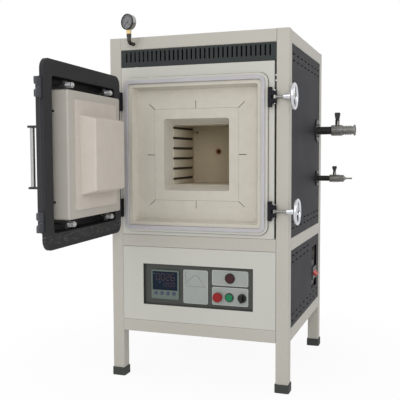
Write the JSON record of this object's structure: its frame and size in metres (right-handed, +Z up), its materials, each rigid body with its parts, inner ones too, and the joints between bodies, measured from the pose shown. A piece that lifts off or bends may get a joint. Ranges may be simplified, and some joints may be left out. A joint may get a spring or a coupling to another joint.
{
  "type": "muffle furnace",
  "caption": "Floor-standing atmosphere muffle furnace with a side-hung plug door, swing-bolt clamps, square-tube frame, control panel, gas and vacuum ports and a pressure gauge.",
  "frame": {"origin": "floor level, under the middle of the cabinet's footprint", "axes": "+X to the furnace's right as seen from its front, +Y to the rear, +Z up; the mouth faces -Y"},
  "size_m": [0.7553, 1.1602, 1.1932],
  "materials": {
    "frame_paint": "fine textured powder coat, warm light grey",
    "dark_paint": "fine textured powder coat, charcoal",
    "panel_paint": "smooth powder coat, light grey",
    "grille_paint": "fine textured powder coat, dark grey",
    "rubber_black": "matt",
    "bare_sheet": "mill finish",
    "gasket": "satin silicone, off-white",
    "fibre_board": "matt vacuum-formed ceramic fibre board, cream",
    "lining_board": "matt ceramic fibre board, heat-stained",
    "heater": "oxidised",
    "ceramic_tube": "fired ceramic, tan",
    "bright_steel": "polished",
    "brushed": "turned",
    "black_plastic": "matt",
    "fascia_paint": "satin, dark green-grey",
    "bezel": "fine grain, grey-green",
    "screen": "gloss",
    "key_rubber": "satin, navy",
    "card": "satin laminate, white",
    "lens_red": "gloss, dark red",
    "button_red": "satin, red",
    "button_green": "satin, green",
    "brass": "turned",
    "gauge_glass": "clear",
    "toggle_red": "satin, red"
  },
  "bodies": {
    "cabinet": {"frame_posts": "frame_paint", "frame_rails": "frame_paint", "rubber_feet": "rubber_black", "cabinet_covers": "dark_paint", "side_panels": "dark_paint", "inner_decks": "bare_sheet", "vent_grille": "grille_paint", "front_panels": "panel_paint", "furnace_flange": "panel_paint", "furnace_shell": "bare_sheet", "door_gasket": "gasket", "collar_block": "fibre_board", "throat_block": "fibre_board", "chamber_lining": "lining_board", "heating_elements": "heater", "insulation_pack": "fibre_board", "back_wall_tubes": "ceramic_tube", "hinge_brackets": "dark_paint", "clamp_brackets": "dark_paint", "pivot_pins": "bright_steel", "control_fascia": "fascia_paint", "controller_case": "bezel", "controller_screen": "screen", "panel_plates": "card", "panel_collars": "black_plastic", "alarm_lens": "lens_red", "breaker_body": "black_plastic", "breaker_rail": "brushed", "port_flanges": "brushed", "vacuum_valve": "brushed", "gas_valve": "brushed", "gauge_stem": "brass", "gauge_case": "bright_steel", "gauge_glass": "gauge_glass", "cable_gland": "black_plastic"},
    "door": {"door_flange": "dark_paint", "door_cover": "dark_paint", "door_hinge_leaves": "dark_paint", "door_forks": "dark_paint", "door_handle": "bright_steel", "plug_springs": "bright_steel"},
    "plug": {"plug_casing": "panel_paint", "plug_block": "fibre_board"},
    "clamp_bolt_upper": {"clamp_bolt_upper": "bright_steel"},
    "clamp_nut_upper": {"clamp_nut_upper": "bright_steel"},
    "handwheel_upper": {"handwheel_upper": "bright_steel"},
    "clamp_bolt_lower": {"clamp_bolt_lower": "bright_steel"},
    "clamp_nut_lower": {"clamp_nut_lower": "bright_steel"},
    "handwheel_lower": {"handwheel_lower": "bright_steel"},
    "stop_button": {"stop_button": "button_red"},
    "start_button": {"start_button": "button_green"},
    "selector_knob": {"selector_knob": "black_plastic"},
    "key_set": {"key_set": "key_rubber"},
    "key_shift": {"key_shift": "key_rubber"},
    "key_down": {"key_down": "key_rubber"},
    "key_up": {"key_up": "key_rubber"},
    "breaker_toggle": {"breaker_toggle": "toggle_red"},
    "vacuum_lever": {"vacuum_lever": "black_plastic"},
    "gas_handle": {"gas_handle": "black_plastic"},
    "gauge_needle": {"gauge_needle": "black_plastic"}
  },
  "joints": [
    {"name": "door_swing", "type": "hinge", "parent": "cabinet", "child": "door", "pos_m": [-0.26, -0.322, 0.744], "axis": [0, 0, -1], "range_deg": [-87.5, 32.5]},
    {"name": "plug_float", "type": "slide", "parent": "door", "child": "plug", "axis": [0.999, 0.0436, 0], "range_m": [0, 0.002], "stiffness_N_per_m": 4000, "springref_m": -0.002, "deforming": ["plug_springs"]},
    {"name": "clamp_swing_upper", "type": "hinge", "parent": "cabinet", "child": "clamp_bolt_upper", "pos_m": [0.2575, -0.3105, 0.918], "axis": [0, 0, -1], "range_deg": [0, 90]},
    {"name": "clamp_travel_upper", "type": "slide", "parent": "clamp_bolt_upper", "child": "clamp_nut_upper", "axis": [-1, 0, 0], "range_m": [0, 0.01201]},
    {"name": "handwheel_spin_upper", "type": "hinge", "parent": "clamp_nut_upper", "child": "handwheel_upper", "pos_m": [0.3053, -0.3105, 0.918], "axis": [1, 0, 0], "range_deg": [0, 1442]},
    {"name": "clamp_swing_lower", "type": "hinge", "parent": "cabinet", "child": "clamp_bolt_lower", "pos_m": [0.2575, -0.3105, 0.57], "axis": [0, 0, -1], "range_deg": [0, 90]},
    {"name": "clamp_travel_lower", "type": "slide", "parent": "clamp_bolt_lower", "child": "clamp_nut_lower", "axis": [-1, 0, 0], "range_m": [0, 0.02291]},
    {"name": "handwheel_spin_lower", "type": "hinge", "parent": "clamp_nut_lower", "child": "handwheel_lower", "pos_m": [0.3162, -0.3105, 0.57], "axis": [1, 0, 0], "range_deg": [0, 2750]},
    {"name": "stop_press", "type": "slide", "parent": "cabinet", "child": "stop_button", "axis": [0, 1, 0], "range_m": [0, 0.004], "stiffness_N_per_m": 600, "springref_m": -0.002},
    {"name": "start_press", "type": "slide", "parent": "cabinet", "child": "start_button", "axis": [0, 1, 0], "range_m": [0, 0.003], "stiffness_N_per_m": 600, "springref_m": -0.002},
    {"name": "selector_turn", "type": "hinge", "parent": "cabinet", "child": "selector_knob", "pos_m": [0.15, -0.3, 0.289], "axis": [0, 1, 0], "range_deg": [0, 90]},
    {"name": "key_set_press", "type": "slide", "parent": "cabinet", "child": "key_set", "axis": [0, 1, 0], "range_m": [0, 0.0007], "stiffness_N_per_m": 600, "springref_m": -0.001},
    {"name": "key_shift_press", "type": "slide", "parent": "cabinet", "child": "key_shift", "axis": [0, 1, 0], "range_m": [0, 0.0007], "stiffness_N_per_m": 600, "springref_m": -0.001},
    {"name": "key_down_press", "type": "slide", "parent": "cabinet", "child": "key_down", "axis": [0, 1, 0], "range_m": [0, 0.0007], "stiffness_N_per_m": 600, "springref_m": -0.001},
    {"name": "key_up_press", "type": "slide", "parent": "cabinet", "child": "key_up", "axis": [0, 1, 0], "range_m": [0, 0.0007], "stiffness_N_per_m": 600, "springref_m": -0.001},
    {"name": "breaker_switch", "type": "hinge", "parent": "cabinet", "child": "breaker_toggle", "pos_m": [0.2945, 0.176, 0.304], "axis": [0, -1, 0], "range_deg": [0, 50]},
    {"name": "vacuum_lever_turn", "type": "hinge", "parent": "cabinet", "child": "vacuum_lever", "pos_m": [0.375, 0.204, 0.87], "axis": [0, 0, 1], "range_deg": [0, 90]},
    {"name": "gas_handle_turn", "type": "hinge", "parent": "cabinet", "child": "gas_handle", "pos_m": [0.366, 0.204, 0.68], "axis": [0, 0, 1], "range_deg": [0, 90]},
    {"name": "gauge_needle_turn", "type": "hinge", "parent": "cabinet", "child": "gauge_needle", "pos_m": [-0.214, -0.335, 1.168], "axis": [0.3256, 0.9455, 0], "range_deg": [0, 270], "stiffness_Nm_per_rad": 0.0005, "springref_deg": -28.65}
  ],
  "couplings": [
    {"joint": "handwheel_spin_upper", "follows": "clamp_travel_upper", "rad_per_m": 2094.4},
    {"joint": "handwheel_spin_lower", "follows": "clamp_travel_lower", "rad_per_m": 2094.4}
  ]
}
